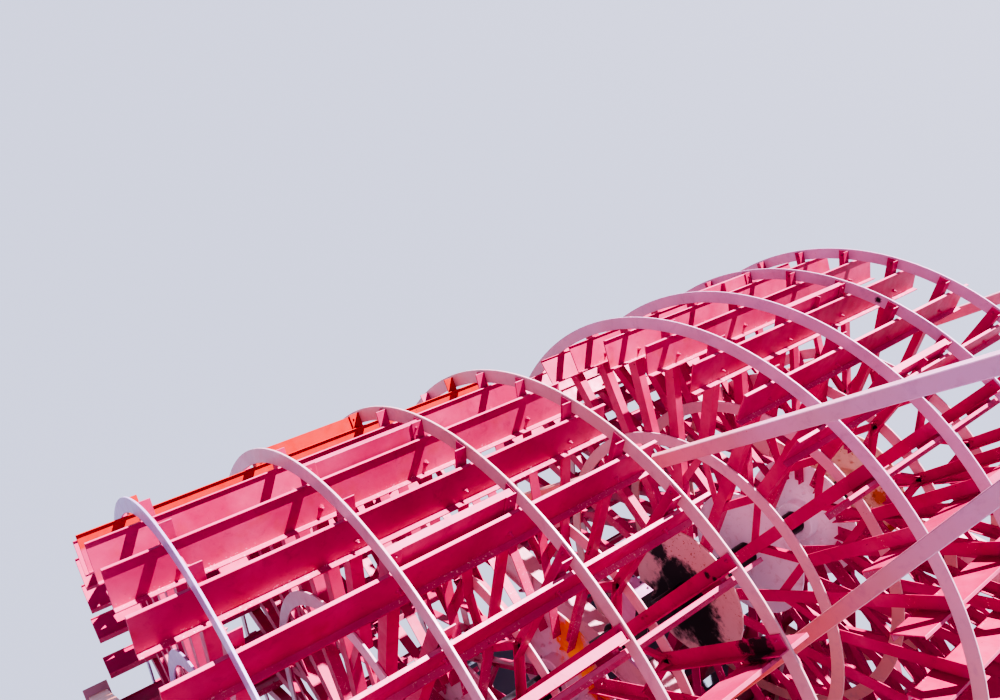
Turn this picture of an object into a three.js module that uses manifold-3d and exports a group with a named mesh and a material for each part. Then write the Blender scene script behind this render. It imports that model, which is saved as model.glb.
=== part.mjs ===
// Stern paddle wheel of a steamer, in two halves on one shaft, with its bearings and carriers.
// Millimetres. X points forward to the vessel, Y along the shaft to port, Z up.
// The origin is on the shaft's axis, midway between the two halves.
import * as THREE from "three";
import Module from "manifold-3d";
import { mergeVertices } from "three/addons/utils/BufferGeometryUtils.js";

const wasm = await Module();
wasm.setup();

// Wheel
const wheelRadius = 2743;
const ringWidth = 110;
const ringThickness = 16;
const ringPitch = 915;
const halfGap = 790;
const innerRingRadius = 1632;
const innerRingWidth = 115;
const ringSides = 48;
const innerRingSides = 28;
const playGap = 0.3;

// Arms
const armCount = 32;
const armPitch = 360 / armCount;
const armPhase = 2.4;
const armWidth = 105;
const armDepth = 85;
const legThickness = 10;
const armTip = 2725;
const longArmFoot = 440;
const shortArmFoot = 1500;
const braceWidth = 70;
const braceTop = 1570;
const braceFoot = 1130;

// Buckets, which are the floats that push the water
const bucketOuter = 2612;
const bucketInner = 2344;
const bucketOutboardEnd = 3875;
const bucketThickness = 14;
const bucketFlange = 60;
const packingDepth = 22;
const plateThickness = 10;
const tieInner = 2602;
const tieOuter = 2715;
const tieDepth = 95;
const tiePlane = 2;
const padInset = 20;

// Hubs and shaft
const hubRadius = 650;
const hubThickness = 20;
const bossRadius = 210;
const bossReach = 125;
const shaftRadius = 115;
const shaftHalfLength = 4150;
const hubSides = 24;
const shaftSides = 16;

// Bearings and the three trusses that carry them, which bolt flat to the vessel at the bolting face
const footLength = 460;
const footHeight = 45;
const centreHousingLength = 260;
const centreHousingTop = 550;
const capRadius = 190;
const capSteps = 12;
const girderTop = -210;
const girderHeight = 320;
const girderWidth = 200;
const girderAft = -2560;
const boltingFace = 3130;
const plateDepth = 30;
const plateOverhang = 80;
const weldOverlap = 5;
const headBelow = 210;
const headAbove = 240;
const endTrussY = 4000;
const strutHeight = 106;
const strutWidth = 150;
const strutApex = [3092, 4523];
const aftStrutAngle = 40.7;
const foreStrutAngle = 64.95;
const endStrutDrop = 30;

const radians = (degrees) => (degrees * Math.PI) / 180;

const paint = (color, roughness, metalness) =>
  new THREE.MeshStandardMaterial({ color, roughness, metalness, flatShading: true });

const materials = {
  white: paint("#e2cfd8", 0.45, 0.1),
  red: paint("#c8102e", 0.5, 0.1),
  steel: paint("#6e6a6c", 0.4, 0.8),
  greasy: paint("#2a2328", 0.6, 0.5),
  carrier: paint("#d9c9cf", 0.5, 0.1),
};

const wheel = new THREE.Group();

const addNode = (name, geometry, material) => {
  geometry.computeVertexNormals();
  const mesh = new THREE.Mesh(geometry, material);
  mesh.name = name;
  wheel.add(mesh);
};

// A flat outline in X and Z, given as [x, z] points, drawn out along Y from yLow to yHigh
const prism = (outline, yLow, yHigh, holes = []) => {
  const shape = new THREE.Shape(outline.map(([x, z]) => new THREE.Vector2(x, z)));
  for (const hole of holes) shape.holes.push(new THREE.Path(hole.map(([x, z]) => new THREE.Vector2(x, z))));
  const geometry = new THREE.ExtrudeGeometry(shape, { depth: yHigh - yLow, bevelEnabled: false });
  geometry.rotateX(Math.PI / 2);
  geometry.translate(0, yHigh, 0);
  return geometry;
};

const circle = (radius, sides) =>
  Array.from({ length: sides }, (_, i) => {
    const turn = (2 * Math.PI * i) / sides;
    return [radius * Math.cos(turn), radius * Math.sin(turn)];
  });

// A point at a radius and a tangential offset from the arm line at the angle given
const polar = (angle, radius, offset) => {
  const turn = radians(angle);
  return [
    radius * Math.cos(turn) - offset * Math.sin(turn),
    radius * Math.sin(turn) + offset * Math.cos(turn),
  ];
};

// A straight bar of one width between two points
const bar = (from, to, width) => {
  const length = Math.hypot(to[0] - from[0], to[1] - from[1]);
  const across = [-(to[1] - from[1]) / length, (to[0] - from[0]) / length];
  const corner = (point, half) => [point[0] + across[0] * half, point[1] + across[1] * half];
  return [
    corner(from, -width / 2), corner(to, -width / 2), corner(to, width / 2), corner(from, width / 2),
  ];
};

const toSolid = (geometry) => {
  const bare = geometry.clone();
  bare.deleteAttribute("normal");
  bare.deleteAttribute("uv");
  const merged = mergeVertices(bare, 1e-3);
  return new wasm.Manifold(
    new wasm.Mesh({
      numProp: 3,
      vertProperties: new Float32Array(merged.attributes.position.array),
      triVerts: new Uint32Array(merged.index.array),
    }),
  );
};

const toGeometry = (solid) => {
  const mesh = solid.getMesh();
  const geometry = new THREE.BufferGeometry();
  geometry.setAttribute("position", new THREE.BufferAttribute(new Float32Array(mesh.vertProperties), 3));
  geometry.setIndex(new THREE.BufferAttribute(new Uint32Array(mesh.triVerts), 1));
  return geometry.toNonIndexed();
};

const union = (geometries) => toGeometry(geometries.map(toSolid).reduce((sum, next) => sum.add(next)));

const span = (a, b) => [Math.min(a, b), Math.max(a, b)];

const armAngle = (arm) => armPhase + arm * armPitch;
const isLong = (arm) => arm % 2 === 1;

const ringPlate = (outer, width, sides, y) =>
  prism(circle(outer, sides), y - ringThickness / 2, y + ringThickness / 2, [circle(outer - width, sides)]);

// An outline laid along an arm, its points given as [radius, offset] pairs
const alongArm = (arm, points) => points.map(([radius, offset]) => polar(armAngle(arm), radius, offset));

const strip = (inner, outer, low, high) => [[inner, low], [outer, low], [outer, high], [inner, high]];

// One arm from foot to tip, an angle iron: one leg lies against the rings, the other stands out from them
const armAngleIron = (arm, face, side) => {
  const foot = isLong(arm) ? longArmFoot : shortArmFoot;
  const edge = -armWidth / 2;
  const flat = strip(foot, armTip, edge, armWidth / 2);
  const standing = strip(foot, armTip, edge, edge + legThickness);
  return [
    prism(alongArm(arm, flat), ...span(face, face + side * legThickness)),
    prism(alongArm(arm, standing), ...span(face, face + side * armDepth)),
  ];
};

// The two braces that carry a short arm's foot from the long arms beside it
const bracePair = (arm, face, side) =>
  [-1, 1].map((neighbour) =>
    prism(
      bar(polar(armAngle(arm), braceTop, 0), polar(armAngle(arm + neighbour), braceFoot, 0), braceWidth),
      ...span(face, face + side * legThickness),
    ),
  );

const bucketBack = -armWidth / 2 - packingDepth;

// Section of a bucket, seen along the shaft: thick web and inner flange
const bucketOutline = (arm) => {
  const front = bucketBack - bucketThickness;
  const edge = bucketBack - bucketFlange;
  const section = [
    [bucketInner, bucketBack], [bucketOuter, bucketBack], [bucketOuter, front],
    [bucketInner + plateThickness, front], [bucketInner + plateThickness, edge], [bucketInner, edge],
  ];
  return alongArm(arm, section);
};

// Angle section of a short tie above a bucket, which nests in the arms' angle: web and wide outer leg
const tieOutline = (arm) => {
  const front = -armWidth / 2 + legThickness + playGap;
  const section = [
    [tieInner, front], [tieOuter, front], [tieOuter, front + tieDepth],
    [tieOuter - plateThickness, front + tieDepth], [tieOuter - plateThickness, front + plateThickness],
    [tieInner, front + plateThickness],
  ];
  return alongArm(arm, section);
};

// A pad from a face of the arm's leg to a face of the bucket or tie, let into both and inset from their edges
const pad = (arm, inner, outer, low, high, armLow, armHigh) => {
  const outline = strip(inner + padInset, outer - padInset, low - weldOverlap, high + weldOverlap);
  return prism(alongArm(arm, outline), armLow + padInset, armHigh - padInset);
};

// The rings of each half: plane number from inboard, ring face side and arm side
const planes = [1, 2, 3, 4].map((number) => ({
  number,
  y: halfGap + (number - 1) * ringPitch,
  armSide: number <= 2 ? 1 : -1,
}));

const buildPlane = (half, plane) => {
  const y = half.sign * plane.y;
  const side = half.sign * plane.armSide;
  const tag = `${half.name}_${plane.number}`;
  const outerRing = ringPlate(wheelRadius, ringWidth, ringSides, y);
  const innerRing = ringPlate(innerRingRadius, innerRingWidth, innerRingSides, y);
  addNode(`outer_ring_${tag}`, outerRing, materials.white);
  addNode(`inner_ring_${tag}`, innerRing, materials.white);
  buildHub(tag, y, side);
  buildArmFrame(half, plane, tag, y, side);
};

// The hubs' bore follows the shaft's flats, and the bearings' bore clears its corners at every turn
const hubBore = circle(shaftRadius + playGap, shaftSides);
const bearingBore = circle((shaftRadius + playGap) / Math.cos(Math.PI / shaftSides), shaftSides);

// Hub: a disc on the rings' side and a boss that reaches past the arms
const buildHub = (tag, y, side) => {
  const face = y + (side * ringThickness) / 2;
  const [discLow, discHigh] = span(face, face - side * hubThickness);
  const [bossLow, bossHigh] = span(face - side * hubThickness, face + side * bossReach);
  const disc = prism(circle(hubRadius, hubSides), discLow, discHigh, [hubBore]);
  const boss = prism(circle(bossRadius, shaftSides), bossLow, bossHigh, [hubBore]);
  addNode(`hub_${tag}`, union([disc, boss]), materials.white);
};

// A bucket with the packing that joins it to its arm
const bucketOn = (half, arm, armLow, armHigh) => [
  prism(bucketOutline(arm), ...span(half.sign * half.bucketStart, half.sign * bucketOutboardEnd)),
  pad(arm, bucketInner, bucketOuter, bucketBack, -armWidth / 2, armLow, armHigh),
];

// A tie between this plane's rings and the next, with the pad that joins it to its arm
const tieOn = (arm, y, side, armLow, armHigh) => {
  const start = ringThickness / 2 + playGap + legThickness;
  const leg = -armWidth / 2 + legThickness;
  return [
    prism(tieOutline(arm), ...span(y + side * start, y + side * (ringPitch - start - playGap))),
    pad(arm, tieInner, tieOuter, leg, leg + playGap, armLow, armHigh),
  ];
};

// Arm frame: all arms and braces of one plane with every fourth bucket
const buildArmFrame = (half, plane, tag, y, side) => {
  const face = y + side * (ringThickness / 2 + playGap);
  const [armLow, armHigh] = span(face, face + side * armDepth);
  const pieces = [];
  for (let arm = 0; arm < armCount; arm += 1) {
    pieces.push(...armAngleIron(arm, face, side));
    if (!isLong(arm)) pieces.push(...bracePair(arm, face, side));
    if (arm % planes.length === plane.number - 1) pieces.push(...bucketOn(half, arm, armLow, armHigh));
    if (plane.number === tiePlane && arm % 2 === half.tieParity) {
      pieces.push(...tieOn(arm, y, side, armLow, armHigh));
    }
  }
  addNode(`arm_frame_${tag}`, union(pieces), materials.red);
};

const halves = [
  { name: "starboard", sign: -1, tieParity: 1, bucketStart: 505 },
  { name: "port", sign: 1, tieParity: 0, bucketStart: 462 },
];
for (const half of halves) for (const plane of planes) buildPlane(half, plane);

addNode("shaft", prism(circle(shaftRadius, shaftSides), -shaftHalfLength, shaftHalfLength), materials.steel);

const rectangle = (xLow, xHigh, zLow, zHigh) => [[xLow, zLow], [xHigh, zLow], [xHigh, zHigh], [xLow, zHigh]];

// Points of an arc in X and Z about the shaft, from one angle to another in degrees
const arc = (radius, from, to, steps) =>
  Array.from({ length: steps + 1 }, (_, i) => polar(from + ((to - from) * i) / steps, radius, 0));

// Outline of a bearing over its foot: a tall box at the centre, a round cap at the ends
const housings = {
  box: [
    [centreHousingLength / 2, girderTop + footHeight], [centreHousingLength / 2, centreHousingTop],
    [-centreHousingLength / 2, centreHousingTop], [-centreHousingLength / 2, girderTop + footHeight],
  ],
  cap: [
    [capRadius, girderTop + footHeight],
    ...arc(capRadius, 0, 180, capSteps),
    [-capRadius, girderTop + footHeight],
  ],
};

// Bearing: a housing round the shaft, clear of it by the play, with its foot on the girder
const buildBearing = (truss) => {
  const foot = girderTop + playGap;
  const outline = [
    [-footLength / 2, foot], [footLength / 2, foot], [footLength / 2, girderTop + footHeight],
    ...housings[truss.housing], [-footLength / 2, girderTop + footHeight],
  ];
  addNode(
    `${truss.name}_bearing`,
    prism(outline, truss.y - girderWidth / 2, truss.y + girderWidth / 2, [bearingBore]), materials.greasy,
  );
};

// Girder under the bearing, with its bolting plate at the fore end
const buildGirder = (truss) => {
  const [low, high] = [truss.y - girderWidth / 2, truss.y + girderWidth / 2];
  const bottom = girderTop - girderHeight;
  const back = boltingFace - plateDepth;
  const beam = prism(rectangle(girderAft, back + weldOverlap, bottom, girderTop), low, high);
  const plate = prism(
    rectangle(back, boltingFace, bottom - plateOverhang, girderTop + plateOverhang),
    low - plateOverhang, high + plateOverhang,
  );
  addNode(`${truss.name}_girder`, union([beam, plate]), materials.carrier);
};

// Outline of a strut that rises at the angle given to the apex, its foot cut level on the girder
const strutOutline = (apex, angle, xTop) => {
  const slope = Math.tan(radians(angle));
  const rise = strutHeight / 2 / Math.cos(radians(angle));
  const foot = girderTop + playGap;
  const atHeight = (z, side) => apex[0] + (z - apex[1] - side * rise) / slope;
  const atLength = (x, side) => apex[1] + (x - apex[0]) * slope + side * rise;
  return [
    [atHeight(foot, -1), foot], [xTop, atLength(xTop, -1)],
    [xTop, atLength(xTop, 1)], [atHeight(foot, 1), foot],
  ];
};

// Two struts that meet at the head plate: the aft one holds the girder's aft end
const buildStruts = (truss) => {
  const [low, high] = [truss.y - strutWidth / 2, truss.y + strutWidth / 2];
  const apex = [strutApex[0], strutApex[1] - truss.strutDrop];
  const back = boltingFace - plateDepth;
  const legs = [aftStrutAngle, foreStrutAngle].map((angle) =>
    prism(strutOutline(apex, angle, back + weldOverlap), low, high),
  );
  const head = prism(
    rectangle(back, boltingFace, apex[1] - headBelow, apex[1] + headAbove),
    low - plateOverhang, high + plateOverhang,
  );
  addNode(`${truss.name}_struts`, union([...legs, head]), materials.carrier);
};

const trusses = [
  { name: "starboard", y: -endTrussY, housing: "cap", strutDrop: endStrutDrop },
  { name: "centre", y: 0, housing: "box", strutDrop: 0 },
  { name: "port", y: endTrussY, housing: "cap", strutDrop: endStrutDrop },
];
for (const truss of trusses) {
  buildBearing(truss);
  buildGirder(truss);
  buildStruts(truss);
}

export default wheel;
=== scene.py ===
"""Stern paddle wheel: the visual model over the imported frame. Metres; X forward, Y to port, Z up."""

import math

import bmesh
import bpy
from mathutils import Matrix, Vector


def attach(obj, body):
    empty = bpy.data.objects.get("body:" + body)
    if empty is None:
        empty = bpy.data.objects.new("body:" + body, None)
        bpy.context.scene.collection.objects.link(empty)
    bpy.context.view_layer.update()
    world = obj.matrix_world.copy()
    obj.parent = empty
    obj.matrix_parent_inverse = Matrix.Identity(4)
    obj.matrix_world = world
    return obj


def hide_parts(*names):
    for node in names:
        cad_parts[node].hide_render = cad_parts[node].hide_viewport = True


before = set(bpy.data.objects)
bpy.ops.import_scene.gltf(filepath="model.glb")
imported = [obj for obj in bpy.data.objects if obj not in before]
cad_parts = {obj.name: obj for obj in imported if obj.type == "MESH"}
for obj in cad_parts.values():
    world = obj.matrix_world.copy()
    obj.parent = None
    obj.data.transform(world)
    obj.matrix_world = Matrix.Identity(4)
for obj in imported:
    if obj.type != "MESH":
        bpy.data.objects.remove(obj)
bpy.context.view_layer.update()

# Wheel
WHEEL_RADIUS = 2.743
RING_WIDTH = 0.110
RING_THICKNESS = 0.016
RING_PITCH = 0.915
HALF_GAP = 0.790
INNER_RING_RADIUS = 1.632
INNER_RING_WIDTH = 0.115
RING_STEPS = 144
# Play between pieces, and the two depths to which pieces are let into what carries them
PLAY = 0.0003
LET_IN = 0.001
SINK = 0.002

# Arms
ARM_COUNT = 32
ARM_PHASE = 2.4
ARM_WIDTH = 0.105
ARM_DEPTH = 0.085
ARM_PLATE = 0.010
ARM_TIP = 2.725
LONG_FOOT = 0.440
SHORT_FOOT = 1.500
BRACE_WIDTH = 0.070
BRACE_DEPTH = 0.045
BRACE_PLATE = 0.008
BRACE_TOP = 1.570
BRACE_FOOT = 1.130

# Buckets and ties
BUCKET_OUTER = 2.612
BUCKET_INNER = 2.344
BUCKET_OUTBOARD = 3.875
BUCKET_PLATE = 0.012
BUCKET_LIP = 0.028
LIP_PLATE = 0.008
BUCKET_FLANGE = 0.060
FLANGE_PLATE = 0.010
BUCKET_BOLT_RADIUS = 2.425
PACKING = 0.022
PACKING_INSET = 0.020
BUCKET_BACK = -ARM_WIDTH / 2 - PACKING
BUCKET_FRONT = BUCKET_BACK - BUCKET_PLATE
TIE_INNER = 2.560
TIE_OUTER = 2.715
TIE_DEPTH = 0.055
TIE_PLATE = 0.010
TIE_END_GAP = 0.0186
TIE_RIB = 0.040
TIE_RIB_PLATE = 0.012
TIE_BOLT_INSET = 0.045
TIE_BOLT_RADII = (2.630, 2.685)

# Hubs and shaft
HUB_RADIUS = 0.650
HUB_THICKNESS = 0.020
BOSS_RADIUS = 0.210
BOSS_REACH = 0.125
HUB_STEPS = 96
HUB_BOLTS = 12
HUB_BOLT_PHASE = 7
HUB_BOLT_RADIUS = 0.300
SHAFT_RADIUS = 0.115
SHAFT_HALF_LENGTH = 4.150
SHAFT_STEPS = 64
COLLAR_RADIUS = 0.155
COLLAR_HALF = 0.030
COLLARS = (-3.860, -0.145, 0.145, 3.860)

# Bearings
BORE_PLAY = 0.003
BUSH_WALL = 0.024
BUSH_PROUD = 0.009
BUSH_STEPS = 48
FOOT_LENGTH = 0.460
FOOT_HEIGHT = 0.045
FOOT_BOLT_REACH = 0.208
FOOT_BOLT_INSET = 0.035
BOX_LENGTH = 0.260
BOX_TOP = 0.550
LID_HEIGHT = 0.030
LID_OVERHANG = 0.006
LID_BOLTS = (-0.090, 0.0, 0.090)
LID_BOLT_INSET = 0.022
RAIL_LOW = 0.165
RAIL_HIGH = 0.195
RAIL_PROUD = 0.014
CAP_RADIUS = 0.190
CAP_GAP = 0.004
CAP_INSET = 0.004
CAP_SHOULDER = 12
LUG_REACH = 0.152
LUG_SPREAD = 0.055
LUG_HALF = 0.034
LUG_LOW = -0.030
LUG_HIGH = 0.118

# Trusses
GIRDER_TOP = -0.210
GIRDER_HEIGHT = 0.320
GIRDER_WIDTH = 0.200
GIRDER_AFT = -2.560
BOLTING_FACE = 3.130
PLATE_DEPTH = 0.030
PLATE_OVERHANG = 0.080
HEAD_BELOW = 0.210
HEAD_ABOVE = 0.240
END_TRUSS_Y = 4.000
STRUT_HEIGHT = 0.106
STRUT_WIDTH = 0.150
STRUT_APEX = (3.092, 4.523)
AFT_STRUT_ANGLE = 40.7
FORE_STRUT_ANGLE = 64.95
END_STRUT_DROP = 0.030
GUSSET_TOP = 0.200
GUSSET_BOTTOM = 0.520
GUSSET_REACH = 0.300
GUSSET_HALF = 0.007
DOUBLER_RISE = 0.450
DOUBLER_LENGTH = 0.260
DOUBLER_PLATE = 0.010
DOUBLER_INSET = 0.012
GIRDER_FLANGE = 0.016
GIRDER_CORE_INSET = 0.028
GIRDER_RIBS = 10
GIRDER_RIB = 0.010
GIRDER_RIB_INSET = 0.004

# Bolts of the bolting face: heights from the struts' apex and from the girder's top, and how far in from
# the plate's edge
HEAD_BOLTS = (-0.16, -0.04, 0.08, 0.19)
HEAD_BOLT_INSET = 0.038
GIRDER_BOLTS = (0.04, -0.06, -0.16, -0.26, -0.36)
GIRDER_BOLT_INSET = 0.040

# Edges: how much is cut off, then in radians the least turn between faces that is cut, and the least that
# shades sharp
BAR_EDGE = 0.0015
PLATE_EDGE = 0.002
RING_EDGE = 0.0025
BUSH_EDGE = 0.003
CAP_EDGE = 0.004
BOX_EDGE = 0.005
STRUT_EDGE = 0.006
STEEL_TURN = 0.6
CASTING_TURN = 0.9
SHARP_TURN = math.radians(24)

# Floor and camera, which is solved from the eight rings: place, axes and focal length
FLOOR_Z = -2.85
FLOOR_REACH = 400.0
CAMERA_PLACE = (3.569, -4.232, 5.802)
CAMERA_RIGHT = (0.6101, 0.7924, 0.0)
CAMERA_UP = (-0.3746, 0.2884, 0.8812)
FOCAL_PIXELS = 826.79
PHOTO_WIDTH = 1000
SENSOR_WIDTH = 36.0


# Shapes


def polar(angle, radius, offset=0.0):
    """Point (x, z) at a radius on an arm's line, moved across it by offset."""
    turn = math.radians(angle)
    return Vector((
        radius * math.cos(turn) - offset * math.sin(turn),
        radius * math.sin(turn) + offset * math.cos(turn),
    ))


def arm_angle(arm):
    return ARM_PHASE + arm * 360.0 / ARM_COUNT


def is_long(arm):
    return arm % 2 == 1


def draw_out(bm, points, reach):
    """Draws a flat outline of 3-D points out by a vector."""
    face = bm.faces.new([bm.verts.new(point) for point in points])
    made = bmesh.ops.extrude_face_region(bm, geom=[face])["geom"]
    bmesh.ops.translate(bm, vec=reach, verts=[v for v in made if isinstance(v, bmesh.types.BMVert)])


def add_prism(bm, outline, y_low, y_high):
    """Outline of (x, z) points drawn along Y."""
    draw_out(bm, [(x, y_low, z) for x, z in outline], (0, y_high - y_low, 0))


def add_bar(bm, start, end, section, face, side):
    """Section of (across, depth) points drawn from start to end; depth grows from face to side."""
    along = (end - start).normalized()
    across = Vector((-along.y, along.x))
    points = []
    for offset, depth in section:
        place = start + across * offset
        points.append((place.x, face + side * depth, place.y))
    draw_out(bm, points, (end.x - start.x, 0, end.y - start.y))


def add_box(bm, low, high):
    middle = [(a + b) / 2 for a, b in zip(low, high)]
    size = [b - a for a, b in zip(low, high)]
    bmesh.ops.create_cube(bm, size=1.0, matrix=Matrix.Translation(middle) @ Matrix.Diagonal((*size, 1.0)))


def add_turned(bm, section, steps, closed=True):
    """Section of (radius, y) points turned about the shaft's axis."""
    verts = [bm.verts.new((radius, y, 0)) for radius, y in section]
    pairs = zip(verts, verts[1:] + verts[:1]) if closed else zip(verts, verts[1:])
    edges = [bm.edges.new(pair) for pair in pairs]
    bmesh.ops.spin(
        bm, geom=verts + edges, cent=(0, 0, 0), axis=(0, 1, 0), dvec=(0, 0, 0),
        angle=2 * math.pi, steps=steps, use_merge=True, use_duplicate=False,
    )
    if not closed:
        bmesh.ops.remove_doubles(bm, verts=bm.verts, dist=1e-5)


def chamfered(r_low, r_high, y_low, y_high, cut):
    """Rectangle of (radius, y) points with cut corners."""
    return [
        (r_low + cut, y_low), (r_high - cut, y_low), (r_high, y_low + cut), (r_high, y_high - cut),
        (r_high - cut, y_high), (r_low + cut, y_high), (r_low, y_high - cut), (r_low, y_low + cut),
    ]


def bolt_shape(radius, height, shank=0.0):
    """Small mesh of a hexagon nut on its washer, with the bolt's end above it, standing on Z."""
    bm = bmesh.new()
    washer = height * 0.2
    rows = [
        # sides, lower radius, upper radius, low, high
        (12, radius * 1.4, radius * 1.4, -SINK, washer),
        (6, radius, radius * 0.92, washer, height),
    ]
    if shank:
        rows.append((8, radius * 0.55, radius * 0.48, height, height + shank))
    for sides, lower, upper, low, high in rows:
        bmesh.ops.create_cone(
            bm, cap_ends=True, segments=sides, radius1=lower, radius2=upper, depth=high - low,
            matrix=Matrix.Translation((0, 0, (low + high) / 2)),
        )
    mesh = bpy.data.meshes.new("bolt_shape")
    bm.to_mesh(mesh)
    bm.free()
    return mesh


# Radius over the corners, height, and how far the bolt's end stands above the nut
SMALL_BOLT = bolt_shape(0.011, 0.013, 0.008)
ARM_BOLT = bolt_shape(0.015, 0.017, 0.012)
BUCKET_BOLT = bolt_shape(0.015, 0.016, 0.020)
FOOT_BOLT = bolt_shape(0.021, 0.024, 0.020)


def add_bolt(bm, shape, place, axis):
    """Copy of a bolt's mesh at a place, standing along an axis."""
    turn = Vector(axis).to_track_quat("Z", "Y").to_matrix().to_4x4()
    copy = shape.copy()
    copy.transform(Matrix.Translation(place) @ turn)
    bm.from_mesh(copy)
    bpy.data.meshes.remove(copy)


def bevel_all(bm, width, least_turn=STEEL_TURN):
    edges = [e for e in bm.edges if len(e.link_faces) == 2 and e.calc_face_angle(0) > least_turn]
    bmesh.ops.bevel(bm, geom=edges, offset=width, affect="EDGES", segments=1, profile=0.5, material=-1)


def finish_piece(name, bm, material, body, nodes):
    """Makes the object, which rides on a body and takes a material slot, and hides the nodes of the solids
    that it stands for.
    """
    bmesh.ops.recalc_face_normals(bm, faces=bm.faces)
    mesh = bpy.data.meshes.new(name)
    bm.to_mesh(mesh)
    bm.free()
    for polygon in mesh.polygons:
        polygon.use_smooth = True
    mesh.set_sharp_from_angle(angle=SHARP_TURN)
    piece = bpy.data.objects.new(name, mesh)
    bpy.context.scene.collection.objects.link(piece)
    mesh.materials.append(material)
    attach(piece, body)
    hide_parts(*nodes)


# Materials


def linear(colour):
    """Hex sRGB to linear RGBA."""
    channels = [int(colour[i:i + 2], 16) / 255 for i in (1, 3, 5)]
    return tuple(c / 12.92 if c <= 0.04045 else ((c + 0.055) / 1.055) ** 2.4 for c in channels) + (1.0,)


def add_node(tree, kind, inputs=None, **settings):
    """Adds a node; an input is a value or the output socket that feeds it."""
    made = tree.nodes.new(kind)
    for key, value in settings.items():
        setattr(made, key, value)
    for key, value in (inputs or {}).items():
        if isinstance(value, bpy.types.NodeSocket):
            tree.links.new(value, made.inputs[key])
        else:
            made.inputs[key].default_value = value
    return made


def noise(tree, place, scale, detail=4.0, roughness=0.55, distortion=0.0):
    """Noise with features of about 1 / scale metres."""
    return add_node(tree, "ShaderNodeTexNoise", {
        "Vector": place, "Scale": scale, "Detail": detail, "Roughness": roughness, "Distortion": distortion,
    }).outputs["Fac"]


def ramp(tree, value, low, high):
    """0 below low, 1 above high, or the other way round where low is the greater."""
    return add_node(tree, "ShaderNodeMapRange", {
        "Value": value, "From Min": low, "From Max": high, "To Min": 0.0, "To Max": 1.0,
    }).outputs["Result"]


def mix(tree, factor, first, second):
    return add_node(
        tree, "ShaderNodeMix", {0: factor, 6: first, 7: second}, data_type="RGBA",
    ).outputs[2]


def maths(tree, operation, first, second=0.0):
    return add_node(tree, "ShaderNodeMath", {0: first, 1: second}, operation=operation).outputs[0]


def multiply(tree, first, second):
    return maths(tree, "MULTIPLY", first, second)


def multiply_vector(tree, place, factors):
    return add_node(tree, "ShaderNodeVectorMath", {0: place, 1: factors}, operation="MULTIPLY").outputs[0]


def axes(tree, place):
    """The X, Y and Z of a place on the piece."""
    return add_node(tree, "ShaderNodeSeparateXYZ", {0: place}).outputs


def spot(tree, place, centre, size, ragged=0.9):
    """1 within size metres of a place, with a ragged edge."""
    away = add_node(
        tree, "ShaderNodeVectorMath", {0: place, 1: centre}, operation="DISTANCE",
    ).outputs["Value"]
    torn = multiply(tree, noise(tree, place, 3.0 / size, 6.0, 0.65), size * ragged * 2)
    return ramp(tree, maths(tree, "ADD", away, torn), size * (1.0 + ragged), size * (0.55 + ragged))


def new_material(name):
    material = bpy.data.materials.new(name)
    material.use_nodes = True
    tree = material.node_tree
    tree.nodes.clear()
    output = add_node(tree, "ShaderNodeOutputMaterial")
    shader = add_node(tree, "ShaderNodeBsdfPrincipled")
    tree.links.new(shader.outputs["BSDF"], output.inputs["Surface"])
    place = add_node(tree, "ShaderNodeTexCoord").outputs["Object"]
    return material, tree, shader, place


def add_bump(tree, shader, height, strength, distance):
    bump = add_node(tree, "ShaderNodeBump", {"Height": height, "Strength": strength, "Distance": distance})
    tree.links.new(bump.outputs["Normal"], shader.inputs["Normal"])


def finish_paint(tree, shader, place, colour, gloss, bare):
    """Colour, gloss and brush marks of a coat of paint; bare is the mask of what has lost it."""
    tree.links.new(colour, shader.inputs["Base Color"])
    rough = add_node(tree, "ShaderNodeMapRange", {
        "Value": noise(tree, place, 14.0, 5.0), "From Min": 0.3, "From Max": 0.7,
        "To Min": gloss - 0.08, "To Max": gloss + 0.14,
    }).outputs["Result"]
    tree.links.new(maths(tree, "MAXIMUM", rough, multiply(tree, bare, 0.85)), shader.inputs["Roughness"])
    shader.inputs["Specular IOR Level"].default_value = 0.6
    shader.inputs["Coat Weight"].default_value = 0.25
    shader.inputs["Coat Roughness"].default_value = 0.5
    relief = maths(tree, "SUBTRACT", noise(tree, place, 24.0, 6.0, 0.6), multiply(tree, bare, 0.6))
    add_bump(tree, shader, relief, 0.35, 0.002)


def paint_marks(tree, place, colour, marks):
    """Spots of soot, rust or old paint: rows of centre, size and colour."""
    bare = 0.0
    for centre, size, shade in marks:
        mask = spot(tree, place, centre, size)
        colour = mix(tree, mask, colour, linear(shade))
        bare = maths(tree, "MAXIMUM", mask, bare)
    return colour, bare


# Brushed gloss paint on steel plate that works in spray: it fades in clouds, holds grime in freckles, and
# flakes to rust in chips of 5 to 30 mm
def painted_steel(name, base, faded, grime, rust="#a4511f", chips=0.66, gloss=0.38, marks=(), painted_light_end=None):
    material, tree, shader, place = new_material(name)
    # Clouds of faded paint
    clouds = ramp(tree, noise(tree, place, 1.7, 5.0), 0.38, 0.66)
    colour = mix(tree, clouds, linear(base), linear(faded))
    if painted_light_end:
        # Painted light: the colour turns toward a second colour along an axis from one place to another,
        # for painted reflected light and painted shade toward one end
        axis, low, high, shade = painted_light_end
        colour = mix(tree, ramp(tree, axes(tree, place)[axis], low, high), colour, linear(shade))
    # Freckles of grime
    dirt = ramp(tree, noise(tree, place, 9.0, 8.0, 0.7, 0.6), 0.52, 0.74)
    colour = mix(tree, multiply(tree, dirt, 0.4), colour, linear(grime))
    # Chips, which keep to some regions
    flakes = ramp(tree, noise(tree, place, 31.0, 6.0, 0.65), chips, chips + 0.02)
    region = ramp(tree, noise(tree, place, 2.3, 3.0), 0.46, 0.54)
    lost = multiply(tree, flakes, region)
    colour = mix(tree, lost, colour, linear(rust))
    colour, marked = paint_marks(tree, place, colour, marks)
    finish_paint(tree, shader, place, colour, gloss, maths(tree, "MAXIMUM", lost, marked))
    return material


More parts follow.
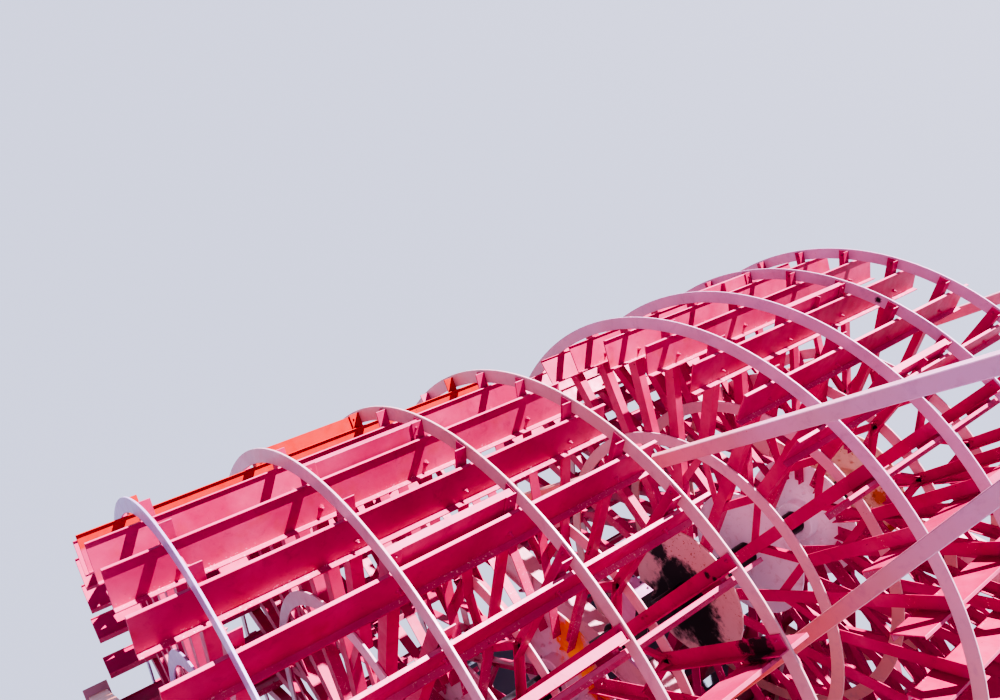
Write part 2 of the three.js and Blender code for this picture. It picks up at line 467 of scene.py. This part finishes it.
# The bucket of the starboard half that has gone orange toward its outer edge: where the colour fades in, by
# angle about the shaft, by place along it and by radius
OLD_BUCKET_START = (math.radians(121.2), math.radians(121.6))
OLD_BUCKET_END = (math.radians(133.5), math.radians(133.0))
OLD_BUCKET_SIDE = (-0.45, -0.50)
OLD_BUCKET_RADIUS = (2.50, 2.52)


# Red gloss on the arms, buckets and ties: as above, with white flecks of salt and old undercoat toward the
# hubs and along the buckets' inner edges
def wheel_red(name, marks):
    material, tree, shader, place = new_material(name)
    x, y, z = axes(tree, place)[0:3]
    radius = maths(tree, "SQRT", maths(tree, "ADD", multiply(tree, x, x), multiply(tree, z, z)))
    turn = maths(tree, "ARCTAN2", z, x)
    # Clouds of faded paint, and a brown bloom over them
    clouds = ramp(tree, noise(tree, place, 2.1, 5.0), 0.40, 0.70)
    colour = mix(tree, clouds, linear("#b8265a"), linear("#cc4a74"))
    brown = ramp(tree, noise(tree, place, 5.0, 6.0, 0.6), 0.56, 0.72)
    colour = mix(tree, multiply(tree, brown, 0.35), colour, linear("#b03018"))
    # The old bucket
    old_bucket = multiply(tree, ramp(tree, turn, *OLD_BUCKET_START), ramp(tree, turn, *OLD_BUCKET_END))
    old_bucket = multiply(tree, old_bucket, ramp(tree, y, *OLD_BUCKET_SIDE))
    old_bucket = multiply(tree, old_bucket, ramp(tree, radius, *OLD_BUCKET_RADIUS))
    colour = mix(tree, old_bucket, colour, linear("#bc1c04"))
    # Painted sheen: pale pink in patches on the faces that lie across the arms, out where the buckets are,
    # for the sun's sheen on the gloss paint
    outward = add_node(tree, "ShaderNodeVectorMath", {
        0: add_node(tree, "ShaderNodeTexCoord").outputs["Normal"],
        1: add_node(tree, "ShaderNodeVectorMath", {
            0: multiply_vector(tree, place, (1, 0, 1)),
        }, operation="NORMALIZE").outputs[0],
    }, operation="DOT_PRODUCT").outputs["Value"]
    sheen_face = ramp(tree, maths(tree, "ABSOLUTE", outward), 0.80, 0.95)
    sheen_face = multiply(tree, sheen_face, ramp(tree, radius, 2.0, 2.3))
    sheen_patches = maths(tree, "ADD", multiply(tree, noise(tree, place, 6.0, 6.0, 0.7), 0.4), 0.10)
    colour = mix(tree, multiply(tree, sheen_face, sheen_patches), colour, linear("#d88aa4"))
    # Freckles of grime
    dirt = ramp(tree, noise(tree, place, 11.0, 8.0, 0.7, 0.5), 0.55, 0.75)
    colour = mix(tree, multiply(tree, dirt, 0.35), colour, linear("#6e0828"))
    # White flecks near the hubs and on the buckets' inner edges
    fleck = ramp(tree, noise(tree, place, 52.0, 5.0, 0.7), 0.60, 0.63)
    near_hub = ramp(tree, radius, 1.30, 0.60)
    on_edge = multiply(tree, ramp(tree, radius, 2.39, 2.36), ramp(tree, radius, 2.30, 2.33))
    where = maths(tree, "MAXIMUM", near_hub, on_edge)
    where = multiply(tree, where, ramp(tree, noise(tree, place, 1.9, 3.0), 0.44, 0.56))
    lost = multiply(tree, fleck, where)
    colour = mix(tree, lost, colour, linear("#e9c6cc"))
    # Chips down to rust
    chip = multiply(
        tree, ramp(tree, noise(tree, place, 27.0, 6.0, 0.65), 0.685, 0.70),
        ramp(tree, noise(tree, place, 2.9, 3.0), 0.50, 0.58),
    )
    colour = mix(tree, chip, colour, linear("#5a2a1c"))
    colour, marked = paint_marks(tree, place, colour, marks)
    bare = maths(tree, "MAXIMUM", maths(tree, "MAXIMUM", lost, chip), marked)
    finish_paint(tree, shader, place, colour, 0.52, bare)
    return material


# Cast iron and steel under old grease: near black, wet gloss in patches
def greasy_metal(name, base, dark_colour, gloss=0.3):
    material, tree, shader, place = new_material(name)
    film = ramp(tree, noise(tree, place, 7.0, 6.0, 0.6), 0.35, 0.62)
    colour = mix(tree, film, linear(base), linear(dark_colour))
    tree.links.new(colour, shader.inputs["Base Color"])
    rough = add_node(tree, "ShaderNodeMapRange", {
        "Value": film, "From Min": 0.0, "From Max": 1.0, "To Min": gloss + 0.25, "To Max": gloss,
    }).outputs["Result"]
    tree.links.new(rough, shader.inputs["Roughness"])
    shader.inputs["Metallic"].default_value = 0.6
    add_bump(tree, shader, noise(tree, place, 60.0, 6.0, 0.6), 0.4, 0.002)
    return material


# Painted cast housing whose faces turned forward go near black, with a ragged edge to the black
def housing_paint(name, base, dark_colour):
    material, tree, shader, place = new_material(name)
    facing = axes(tree, add_node(tree, "ShaderNodeTexCoord").outputs["Normal"])[0]
    fore_face_edge = maths(tree, "ADD", facing, multiply(tree, noise(tree, place, 6.0, 6.0, 0.6), 0.5))
    dark_fore_face = ramp(tree, fore_face_edge, 0.62, 0.72)
    colour = mix(tree, ramp(tree, noise(tree, place, 5.0, 5.0), 0.4, 0.7), linear(base), linear("#a4728e"))
    colour = mix(tree, dark_fore_face, colour, linear(dark_colour))
    finish_paint(tree, shader, place, colour, 0.34, 0.0)
    return material


# Where marks lie along the shaft: the inboard faces of the first hub disc and of the third ring, and the
# middle of the fourth ring
HUB_FACE = HALF_GAP + RING_THICKNESS / 2 - HUB_THICKNESS
THIRD_RING_FACE = HALF_GAP + 2 * RING_PITCH - RING_THICKNESS / 2
FOURTH_RING = HALF_GAP + 3 * RING_PITCH

# Marks are rows of centre, size and colour
red_paint = wheel_red("red_gloss_paint", marks=(
    ((1.72, -0.81, 1.83), 0.14, "#1c0a12"), ((1.60, -0.81, 1.75), 0.06, "#2c0c18"),
    ((1.26, -0.808, 2.09), 0.028, "#1c0a12"), ((1.32, -0.808, 2.10), 0.024, "#1c0a12"),
    ((1.37, -0.808, 2.13), 0.026, "#1c0a12"),
))
# The struts turn salmon toward their low ends: painted reflected light from the red wheel
strut_paint = painted_steel(
    "strut_white_gloss", "#d8a6c2", "#d3a0ae", "#a9748c", chips=0.70, painted_light_end=(2, 3.2, 0.4, "#d67a5a"),
    marks=(((1.60, 0.0, 1.20), 0.05, "#5a3038"), ((2.1, 0.0, 2.0), 0.03, "#6b3a3c")),
)
girder_paint = painted_steel("girder_white_gloss", "#d3a3b4", "#cf9f9c", "#95606c", chips=0.64)

# The rings' white is tinted pink, painted reflected light from the red buckets. The starboard rings turn
# bluer toward their outboard end, painted shade lit by the sky alone, and the port ones go from lilac high
# up to salmon low down, painted reflected light from the red buckets
ring_paints = {
    "starboard": painted_steel(
        "ring_white_gloss_starboard", "#dcb0b8", "#d8a6a6", "#a87688", chips=0.69,
        painted_light_end=(1, -2.4, -3.5, "#b9a2cc"),
    ),
    "port": painted_steel(
        "ring_white_gloss_port", "#d8b0cc", "#d4a6be", "#a07c98", chips=0.69, painted_light_end=(2, 2.3, 0.4, "#dca49c"),
        marks=(((0.272, THIRD_RING_FACE, 2.673), 0.035, "#1c1418"),),
    ),
}

shaft_steel = greasy_metal("greasy_shaft_steel", "#4a4448", "#151014")
bearing_iron = greasy_metal("greasy_cast_iron", "#3a343a", "#0e0a0e", 0.35)
centre_housing = housing_paint("centre_housing_gloss", "#c08fb4", "#120d12")

# Hub discs, which are painted one by one: tag, base, faded, chips and marks in rows of centre, size, colour
HUB_PAINTS = {
    "starboard_1": ("#cfa6b8", "#c99cac", 0.66, (
        ((0.03, -HUB_FACE, 0.44), 0.24, "#e0741c"), ((0.20, -HUB_FACE, 0.36), 0.22, "#f0a22e"),
        ((0.42, -HUB_FACE, 0.20), 0.18, "#d8621c"), ((0.10, -HUB_FACE, 0.58), 0.14, "#e88c26"),
    )),
    "starboard_2": ("#cfa4b4", "#c69aa8", 0.66, ()),
    "starboard_3": ("#d2a8b8", "#c8a0ac", 0.66, ()),
    "starboard_4": ("#c9a6c4", "#c09cb8", 0.68, ()),
    "port_1": ("#dcb2b0", "#d8a8a4", 0.60, (
        ((-0.40, HUB_FACE, 0.25), 0.16, "#241620"), ((-0.15, HUB_FACE, 0.09), 0.27, "#120c14"),
        ((0.05, HUB_FACE, 0.10), 0.26, "#120c14"), ((0.18, HUB_FACE, -0.14), 0.28, "#120c14"),
        ((-0.04, HUB_FACE, -0.22), 0.42, "#120c14"), ((0.27, HUB_FACE, -0.31), 0.26, "#120c14"),
        ((-0.28, HUB_FACE, -0.34), 0.26, "#120c14"),
    )),
    "port_2": ("#fbf0fb", "#f4e4f2", 0.74, ()),
    "port_3": ("#f6e6ee", "#f0dce6", 0.70, ()),
    "port_4": ("#dcb29c", "#d8a88c", 0.62, (
        ((0.362, FOURTH_RING, 0.054), 0.12, "#b8602c"), ((0.589, FOURTH_RING, -0.26), 0.09, "#a8501f"),
    )),
}
hub_paints = {
    tag: painted_steel(f"hub_gloss_{tag}", base, faded, "#a87468", chips=chips, marks=marks)
    for tag, (base, faded, chips, marks) in HUB_PAINTS.items()
}


# Wheel

PLANES = [
    # half name, sign along Y, plane number, distance from the middle, side of the ring that the arms are on
    (half, sign, number, HALF_GAP + (number - 1) * RING_PITCH, 1 if number <= 2 else -1)
    for half, sign in (("starboard", -1), ("port", 1))
    for number in (1, 2, 3, 4)
]

HALVES = [
    # name, sign along Y, remainder of the arms that carry a tie, bucket's inboard end, rib on its ties
    ("starboard", -1, 1, 0.505, False),
    ("port", 1, 0, 0.462, True),
]


def build_rings(tag, y, paint):
    """Outer and inner ring of one plane."""
    for stem, outer, width in (
        ("outer_ring", WHEEL_RADIUS, RING_WIDTH), ("inner_ring", INNER_RING_RADIUS, INNER_RING_WIDTH),
    ):
        bm = bmesh.new()
        half = RING_THICKNESS / 2
        add_turned(bm, chamfered(outer - width, outer, y - half, y + half, RING_EDGE), RING_STEPS)
        finish_piece(f"{stem}_{tag}_bar", bm, paint, "wheel", (f"{stem}_{tag}",))


def build_hub(tag, y, side):
    """Disc against the ring's plane, with a turned boss that reaches past the arms and a row of bolts."""
    face = y + side * RING_THICKNESS / 2
    back = face - side * HUB_THICKNESS
    front = face + side * BOSS_REACH
    bore = SHAFT_RADIUS + PLAY
    rim, fillet, lip = 0.004, 0.020, 0.006
    section = [
        (bore, back), (HUB_RADIUS - rim, back), (HUB_RADIUS, back + side * rim),
        (HUB_RADIUS, face - side * rim), (HUB_RADIUS - rim, face), (BOSS_RADIUS + fillet, face),
        (BOSS_RADIUS + 0.005, face + side * lip), (BOSS_RADIUS, face + side * fillet),
        (BOSS_RADIUS, front - side * fillet / 2), (BOSS_RADIUS - fillet / 2, front),
        (bore + lip, front), (bore, front - side * lip),
    ]
    bm = bmesh.new()
    add_turned(bm, section, HUB_STEPS)
    for i in range(HUB_BOLTS):
        place = polar(i * 360 / HUB_BOLTS + HUB_BOLT_PHASE, HUB_BOLT_RADIUS)
        add_bolt(bm, ARM_BOLT, (place.x, face, place.y), (0, side, 0))
    finish_piece(f"hub_{tag}_disc", bm, hub_paints[tag], "wheel", (f"hub_{tag}",))


def angle_section(width, depth, plate):
    """Angle iron: one leg flat on the ring, the other standing along the shaft on the trailing edge."""
    edge = -width / 2
    return [
        (edge, 0), (-edge, 0), (-edge, plate), (edge + plate, plate), (edge + plate, depth), (edge, depth),
    ]


# Bolts that hold an arm to its rings, and a long arm to its hub: radius, place across the arm, bolt
RING_BOLTS = [(2.676, 0.016, SMALL_BOLT), (1.548, 0.018, SMALL_BOLT), (1.604, 0.018, SMALL_BOLT)]
HUB_END_BOLTS = [(0.500, 0.016, ARM_BOLT), (0.600, 0.016, ARM_BOLT)]


def build_arms(tag, y, side):
    """The 32 arms of one plane, with the pairs of braces that stand between short arms and long ones."""
    face = y + side * (RING_THICKNESS / 2 + PLAY)
    arm_section = angle_section(ARM_WIDTH, ARM_DEPTH, ARM_PLATE)
    brace_section = angle_section(BRACE_WIDTH, BRACE_DEPTH, BRACE_PLATE)
    bm = bmesh.new()
    for arm in range(ARM_COUNT):
        angle = arm_angle(arm)
        foot = LONG_FOOT if is_long(arm) else SHORT_FOOT
        add_bar(bm, polar(angle, foot), polar(angle, ARM_TIP), arm_section, face, side)
        if not is_long(arm):
            for turn in (-1, 1):
                add_bar(
                    bm, polar(angle, BRACE_TOP), polar(arm_angle(arm + turn), BRACE_FOOT),
                    brace_section, face + side * ARM_PLATE, side,
                )
    bevel_all(bm, BAR_EDGE)
    for arm in range(ARM_COUNT):
        for radius, offset, shape in RING_BOLTS + (HUB_END_BOLTS if is_long(arm) else []):
            place = polar(arm_angle(arm), radius, offset)
            add_bolt(bm, shape, (place.x, face + side * ARM_PLATE, place.y), (0, side, 0))
    finish_piece(f"arms_{tag}", bm, red_paint, "wheel", (f"arm_frame_{tag}",))


def bucket_section():
    """Web with an outer lip and a wider inner flange, as (radius, place across the arm) points."""
    flange_edge = BUCKET_BACK - BUCKET_FLANGE
    lip_edge = BUCKET_BACK - BUCKET_LIP
    lip_inner = BUCKET_OUTER - LIP_PLATE
    flange_outer = BUCKET_INNER + FLANGE_PLATE
    return [
        (BUCKET_INNER, BUCKET_BACK), (BUCKET_OUTER, BUCKET_BACK), (BUCKET_OUTER, lip_edge),
        (lip_inner, lip_edge), (lip_inner, BUCKET_FRONT),
        (flange_outer, BUCKET_FRONT), (flange_outer, flange_edge), (BUCKET_INNER, flange_edge),
    ]


def along_arm(arm, points):
    return [tuple(polar(arm_angle(arm), radius, offset)) for radius, offset in points]


def box_points(inner, outer, low, high):
    return [(inner, low), (outer, low), (outer, high), (inner, high)]


def build_buckets(half, sign, inboard):
    """All the buckets of one half, with the packings and bolts that hold them to the arms."""
    ends = sorted((sign * inboard, sign * BUCKET_OUTBOARD))
    bm = bmesh.new()
    for arm in range(ARM_COUNT):
        add_prism(bm, along_arm(arm, bucket_section()), *ends)
    bevel_all(bm, PLATE_EDGE)
    inset = PACKING_INSET
    packing = box_points(
        BUCKET_INNER + inset, BUCKET_OUTER - inset, BUCKET_BACK - LET_IN, -ARM_WIDTH / 2 - PLAY,
    )
    for name, _, _, distance, side in PLANES:
        if name != half:
            continue
        face = distance + side * (RING_THICKNESS / 2 + PLAY)
        span = sorted((sign * (face + side * inset), sign * (face + side * (ARM_DEPTH - inset))))
        bolt_y = sign * (face + side * ARM_DEPTH * 0.55)
        for arm in range(ARM_COUNT):
            add_prism(bm, along_arm(arm, packing), *span)
            turn = math.radians(arm_angle(arm))
            place = polar(arm_angle(arm), BUCKET_BOLT_RADIUS, BUCKET_FRONT)
            add_bolt(bm, BUCKET_BOLT, (place.x, bolt_y, place.y), (math.sin(turn), 0, -math.cos(turn)))
    nodes = [f"arm_frame_{half}_{number}" for number in (1, 2, 3, 4)]
    finish_piece(f"buckets_{half}", bm, red_paint, "wheel", nodes)


def build_ties(half, sign, parity, ribbed):
    """Angle irons above the buckets between the two middle rings, nested in the arms' own angles."""
    low = HALF_GAP + RING_PITCH + TIE_END_GAP
    high = HALF_GAP + 2 * RING_PITCH - TIE_END_GAP + ARM_PLATE
    front = -ARM_WIDTH / 2 + ARM_PLATE + PLAY
    section = [
        (TIE_INNER, front), (TIE_OUTER, front), (TIE_OUTER, front + TIE_DEPTH),
        (TIE_OUTER - TIE_PLATE, front + TIE_DEPTH), (TIE_OUTER - TIE_PLATE, front + TIE_PLATE),
        (TIE_INNER, front + TIE_PLATE),
    ]
    middle = (low + high) / 2
    rib = box_points(TIE_INNER + TIE_RIB_PLATE, TIE_OUTER, front - TIE_RIB, front + LET_IN)
    bm = bmesh.new()
    for arm in range(ARM_COUNT):
        if arm % 2 != parity:
            continue
        add_prism(bm, along_arm(arm, section), *sorted((sign * low, sign * high)))
        if ribbed:
            half_rib = TIE_RIB_PLATE / 2
            ends = sorted((sign * (middle - half_rib), sign * (middle + half_rib)))
            add_prism(bm, along_arm(arm, rib), *ends)
    bevel_all(bm, BAR_EDGE)
    for arm in range(ARM_COUNT):
        if arm % 2 != parity:
            continue
        turn = math.radians(arm_angle(arm))
        for y in (low + TIE_BOLT_INSET, high - TIE_BOLT_INSET):
            for radius in TIE_BOLT_RADII:
                place = polar(arm_angle(arm), radius, front)
                add_bolt(bm, SMALL_BOLT, (place.x, sign * y, place.y), (math.sin(turn), 0, -math.cos(turn)))
    finish_piece(f"ties_{half}", bm, red_paint, "wheel", (f"arm_frame_{half}_2",))


def build_shaft():
    """Shaft with chamfered ends; set collars flank the middle bearing and stand inboard of the others."""
    bm = bmesh.new()
    end, cut = SHAFT_HALF_LENGTH, 0.006
    add_turned(bm, [
        (0.0, -end), (SHAFT_RADIUS - cut, -end), (SHAFT_RADIUS, -end + cut),
        (SHAFT_RADIUS, end - cut), (SHAFT_RADIUS - cut, end), (0.0, end),
    ], SHAFT_STEPS, closed=False)
    for y in COLLARS:
        section = chamfered(SHAFT_RADIUS - SINK, COLLAR_RADIUS, y - COLLAR_HALF, y + COLLAR_HALF, cut)
        add_turned(bm, section, SHAFT_STEPS)
    finish_piece("shaft_bar", bm, shaft_steel, "wheel", ("shaft",))


for half, sign, number, distance, side in PLANES:
    tag = f"{half}_{number}"
    build_rings(tag, sign * distance, ring_paints[half])
    build_hub(tag, sign * distance, sign * side)
    build_arms(tag, sign * distance, sign * side)
for half, sign, parity, inboard, ribbed in HALVES:
    build_buckets(half, sign, inboard)
    build_ties(half, sign, parity, ribbed)
build_shaft()


# Trusses


def strut_outline(apex, angle, x_top):
    """Strut in (x, z) that leans down from the apex to the girder's top, cut upright at x_top."""
    slope = math.tan(math.radians(angle))
    rise = STRUT_HEIGHT / 2 / math.cos(math.radians(angle))
    foot = GIRDER_TOP + PLAY

    def at_height(z, side):
        return (apex[0] + (z - apex[1] - side * rise) / slope, z)

    def at_length(x, side):
        return (x, apex[1] + (x - apex[0]) * slope + side * rise)

    return [at_height(foot, -1), at_length(x_top, -1), at_length(x_top, 1), at_height(foot, 1)]


def add_doubler(bm, apex, angle, y):
    """Plate welded on the foot of a strut's upper face."""
    along = (apex[1] - GIRDER_TOP - DOUBLER_RISE) / math.sin(math.radians(angle))
    turn = math.radians(angle)
    down = Vector((-math.cos(turn), -math.sin(turn)))
    up = Vector((-math.sin(turn), math.cos(turn)))
    start = Vector(apex) + down * along + up * (STRUT_HEIGHT / 2 - SINK)
    end = start + down * DOUBLER_LENGTH
    corners = [start, end, end + up * DOUBLER_PLATE, start + up * DOUBLER_PLATE]
    half = STRUT_WIDTH / 2 - DOUBLER_INSET
    add_prism(bm, [tuple(corner) for corner in corners], y - half, y + half)


def add_plate_bolts(bm, y, reach, heights):
    """Bolts down both edges of a plate on the bolting face, their heads toward the wheel."""
    for edge in (-1, 1):
        for z in heights:
            add_bolt(bm, FOOT_BOLT, (BOLTING_FACE - PLATE_DEPTH, y + edge * reach, z), (-1, 0, 0))


def build_struts(name, y, drop):
    """Pair of struts that meet at a plate on the bolting face, with a gusset under them."""
    apex = (STRUT_APEX[0], STRUT_APEX[1] - drop)
    back = BOLTING_FACE - PLATE_DEPTH
    bm = bmesh.new()
    for angle in (AFT_STRUT_ANGLE, FORE_STRUT_ANGLE):
        add_prism(bm, strut_outline(apex, angle, back), y - STRUT_WIDTH / 2, y + STRUT_WIDTH / 2)
    bevel_all(bm, STRUT_EDGE)
    reach = STRUT_WIDTH / 2 + PLATE_OVERHANG
    add_box(bm, (back, y - reach, apex[1] - HEAD_BELOW), (BOLTING_FACE, y + reach, apex[1] + HEAD_ABOVE))
    gusset = [
        (back + SINK, apex[1] - GUSSET_TOP), (back + SINK, apex[1] - GUSSET_BOTTOM),
        (back - GUSSET_REACH, apex[1] - GUSSET_BOTTOM),
    ]
    add_prism(bm, gusset, y - GUSSET_HALF, y + GUSSET_HALF)
    add_doubler(bm, apex, FORE_STRUT_ANGLE, y)
    add_plate_bolts(bm, y, reach - HEAD_BOLT_INSET, [apex[1] + rise for rise in HEAD_BOLTS])
    finish_piece(f"{name}_strut_pair", bm, strut_paint, "vessel_frame", (f"{name}_struts",))


def build_girder(name, y):
    """Girder with flanges, a core between them, ribs down its sides and a plate on the bolting face."""
    low, high = y - GIRDER_WIDTH / 2, y + GIRDER_WIDTH / 2
    bottom = GIRDER_TOP - GIRDER_HEIGHT
    back = BOLTING_FACE - PLATE_DEPTH
    core_inset, core_sink, rib_inset = GIRDER_CORE_INSET, 0.006, GIRDER_RIB_INSET
    lower, upper = bottom + GIRDER_FLANGE, GIRDER_TOP - GIRDER_FLANGE
    bm = bmesh.new()
    for z_low, z_high in ((upper, GIRDER_TOP), (bottom, lower)):
        add_box(bm, (GIRDER_AFT, low, z_low), (back, high, z_high))
    add_box(
        bm, (GIRDER_AFT + rib_inset, low + core_inset, lower - core_sink),
        (back, high - core_inset, upper + core_sink),
    )
    first, last = GIRDER_AFT + 0.020, back - 0.030
    for i in range(GIRDER_RIBS):
        x = first + (last - first) * i / (GIRDER_RIBS - 1)
        add_box(
            bm, (x, low + rib_inset, lower - rib_inset),
            (x + GIRDER_RIB, high - rib_inset, upper + rib_inset),
        )
    over = PLATE_OVERHANG
    add_box(bm, (back, low - over, bottom - over), (BOLTING_FACE, high + over, GIRDER_TOP + over))
    bevel_all(bm, PLATE_EDGE)
    reach = GIRDER_WIDTH / 2 + over - GIRDER_BOLT_INSET
    add_plate_bolts(bm, y, reach, [GIRDER_TOP + rise for rise in GIRDER_BOLTS])
    node = f"{name}_girder"
    finish_piece(f"{node}_beam", bm, girder_paint, "vessel_frame", (node,))


def arc_points(radius, low, high, steps):
    """Arc about the shaft in (x, z), between two angles in degrees."""
    turns = [math.radians(low + (high - low) * i / steps) for i in range(steps + 1)]
    return [(radius * math.cos(t), radius * math.sin(t)) for t in turns]


def add_bearing_foot(bm, y):
    """Foot plate with four holding-down bolts."""
    half = GIRDER_WIDTH / 2
    foot = GIRDER_TOP + PLAY
    add_box(bm, (-FOOT_LENGTH / 2, y - half, foot), (FOOT_LENGTH / 2, y + half, GIRDER_TOP + FOOT_HEIGHT))
    for x in (-FOOT_BOLT_REACH, FOOT_BOLT_REACH):
        for edge in (-1, 1):
            place = (x, y + edge * (half - FOOT_BOLT_INSET), GIRDER_TOP + FOOT_HEIGHT)
            add_bolt(bm, SMALL_BOLT, place, (0, 0, 1))


def add_bush(bm, y):
    """Rim round the shaft on each face of a housing."""
    bore = SHAFT_RADIUS + BORE_PLAY
    for edge in (-1, 1):
        low, high = sorted(y + edge * (GIRDER_WIDTH / 2 + proud) for proud in (-SINK, BUSH_PROUD))
        add_turned(bm, chamfered(bore, bore + BUSH_WALL, low, high, BUSH_EDGE), BUSH_STEPS)


def build_end_bearing(name, y):
    """Plummer block: a foot, a body split at the shaft's height and a cap held by four bolts."""
    half = GIRDER_WIDTH / 2 - CAP_INSET
    foot = GIRDER_TOP + FOOT_HEIGHT - SINK
    inner = SHAFT_RADIUS + BORE_PLAY
    steps = 20
    lower = [(-CAP_RADIUS, foot), (CAP_RADIUS, foot), (CAP_RADIUS, -CAP_GAP)]
    lower += arc_points(inner, 0, -180, steps) + [(-CAP_RADIUS, -CAP_GAP)]
    crown = arc_points(CAP_RADIUS, CAP_SHOULDER, 180 - CAP_SHOULDER, steps)
    upper = [(CAP_RADIUS, CAP_GAP)] + crown + [(-CAP_RADIUS, CAP_GAP)]
    upper += arc_points(inner, 180, 0, steps)
    bm = bmesh.new()
    for outline in (lower, upper):
        add_prism(bm, outline, y - half, y + half)
    bevel_all(bm, CAP_EDGE, CASTING_TURN)
    add_bearing_foot(bm, y)
    add_bush(bm, y)
    for x in (-LUG_REACH, LUG_REACH):
        for lug_y in (y - LUG_SPREAD, y + LUG_SPREAD):
            low = (x - LUG_HALF, lug_y - LUG_HALF, LUG_LOW)
            high = (x + LUG_HALF, lug_y + LUG_HALF, LUG_HIGH)
            add_box(bm, low, high)
            add_bolt(bm, ARM_BOLT, (x, lug_y, LUG_HIGH), (0, 0, 1))
    # Grease plug, almost flush with the crown
    bmesh.ops.create_cone(
        bm, cap_ends=True, segments=24, radius1=0.026, radius2=0.022, depth=0.030,
        matrix=Matrix.Translation((0, y, CAP_RADIUS - 0.014)),
    )
    node = f"{name}_bearing"
    finish_piece(f"{name}_plummer_block", bm, bearing_iron, "vessel_frame", (node,))


def build_centre_bearing():
    """Tall box housing with a lid held by bolts and a rail across each end."""
    half = GIRDER_WIDTH / 2
    side = BOX_LENGTH / 2
    foot = GIRDER_TOP + FOOT_HEIGHT - SINK
    under_lid = BOX_TOP - LID_HEIGHT
    inner = SHAFT_RADIUS + BORE_PLAY
    steps = 24
    lower = [(-side, foot), (side, foot), (side, 0.0)] + arc_points(inner, 0, -180, steps) + [(-side, 0.0)]
    upper = [(side, 0.0), (side, under_lid), (-side, under_lid), (-side, 0.0)]
    upper += arc_points(inner, 180, 0, steps)
    bm = bmesh.new()
    for outline in (lower, upper):
        add_prism(bm, outline, LID_OVERHANG - half, half - LID_OVERHANG)
    bevel_all(bm, BOX_EDGE, CASTING_TURN)
    lid_reach = side + LID_OVERHANG
    add_box(bm, (-lid_reach, -half, under_lid - SINK), (lid_reach, half, BOX_TOP))
    rail_depth, rail_inset = 0.030, 0.010
    for x in (-side - RAIL_PROUD, side + RAIL_PROUD - rail_depth):
        add_box(bm, (x, rail_inset - half, RAIL_LOW), (x + rail_depth, half - rail_inset, RAIL_HIGH))
    for edge in (-1, 1):
        for x in LID_BOLTS:
            add_bolt(bm, SMALL_BOLT, (x, edge * (half - LID_BOLT_INSET), BOX_TOP), (0, 0, 1))
    add_bearing_foot(bm, 0.0)
    add_bush(bm, 0.0)
    finish_piece(
        "centre_bearing_housing", bm, centre_housing, "vessel_frame", ("centre_bearing",),
    )


TRUSSES = [
    # name, place along the shaft, how much lower its struts meet than the centre's
    ("starboard", -END_TRUSS_Y, END_STRUT_DROP),
    ("centre", 0.0, 0.0),
    ("port", END_TRUSS_Y, END_STRUT_DROP),
]
for name, y, drop in TRUSSES:
    build_struts(name, y, drop)
    build_girder(name, y)
    if name == "centre":
        build_centre_bearing()
    else:
        build_end_bearing(name, y)
for shape in (SMALL_BOLT, ARM_BOLT, BUCKET_BOLT, FOOT_BOLT):
    bpy.data.meshes.remove(shape)


# Floor, light and camera


def build_stage():
    """Plain pale floor just under the wheel."""
    bm = bmesh.new()
    level = Matrix.Translation((0, 0, FLOOR_Z))
    bmesh.ops.create_grid(bm, x_segments=1, y_segments=1, size=FLOOR_REACH, matrix=level)
    mesh = bpy.data.meshes.new("floor")
    bm.to_mesh(mesh)
    bm.free()
    floor = bpy.data.objects.new("floor", mesh)
    bpy.context.scene.collection.objects.link(floor)
    material, _, shader, _ = new_material("pale_floor")
    shader.inputs["Base Color"].default_value = linear("#707c84")
    shader.inputs["Roughness"].default_value = 0.9
    mesh.materials.append(material)


LIGHTS = [
    # name, direction toward it, strength, angle across in degrees, colour
    ("sun", (0.0, 0.48, 0.875), 14.5, 0.8, "#fff0ff"),
    ("soft_fill", (0.698, -0.538, 0.473), 1.0, 70.0, "#f6dcf6"),
]


def build_light():
    """High hard sun from port, a wide fill from the camera's side, and a dim lilac sky for the pinks."""
    world = bpy.data.worlds.new("soft_sky")
    world.use_nodes = True
    background = world.node_tree.nodes["Background"]
    background.inputs["Color"].default_value = linear("#dcc2fa")
    background.inputs["Strength"].default_value = 0.30
    scene = bpy.context.scene
    scene.world = world
    scene.view_settings.view_transform = "AgX"
    scene.view_settings.look = "AgX - High Contrast"
    for name, direction, energy, angle, colour in LIGHTS:
        data = bpy.data.lights.new(name, "SUN")
        data.energy = energy
        data.angle = math.radians(angle)
        data.color = linear(colour)[:3]
        lamp = bpy.data.objects.new(name, data)
        lamp.rotation_euler = Vector(direction).to_track_quat("Z", "Y").to_euler()
        scene.collection.objects.link(lamp)


def build_camera():
    """Camera at the photograph's viewing angle."""
    right, up = Vector(CAMERA_RIGHT), Vector(CAMERA_UP)
    data = bpy.data.cameras.new("camera")
    data.sensor_width = SENSOR_WIDTH
    data.lens = FOCAL_PIXELS / PHOTO_WIDTH * SENSOR_WIDTH
    data.clip_end = 1000.0
    camera = bpy.data.objects.new("camera", data)
    turn = Matrix((right, up, right.cross(up))).transposed().to_4x4()
    camera.matrix_world = Matrix.Translation(CAMERA_PLACE) @ turn
    bpy.context.scene.collection.objects.link(camera)
    bpy.context.scene.camera = camera


build_stage()
build_light()
build_camera()
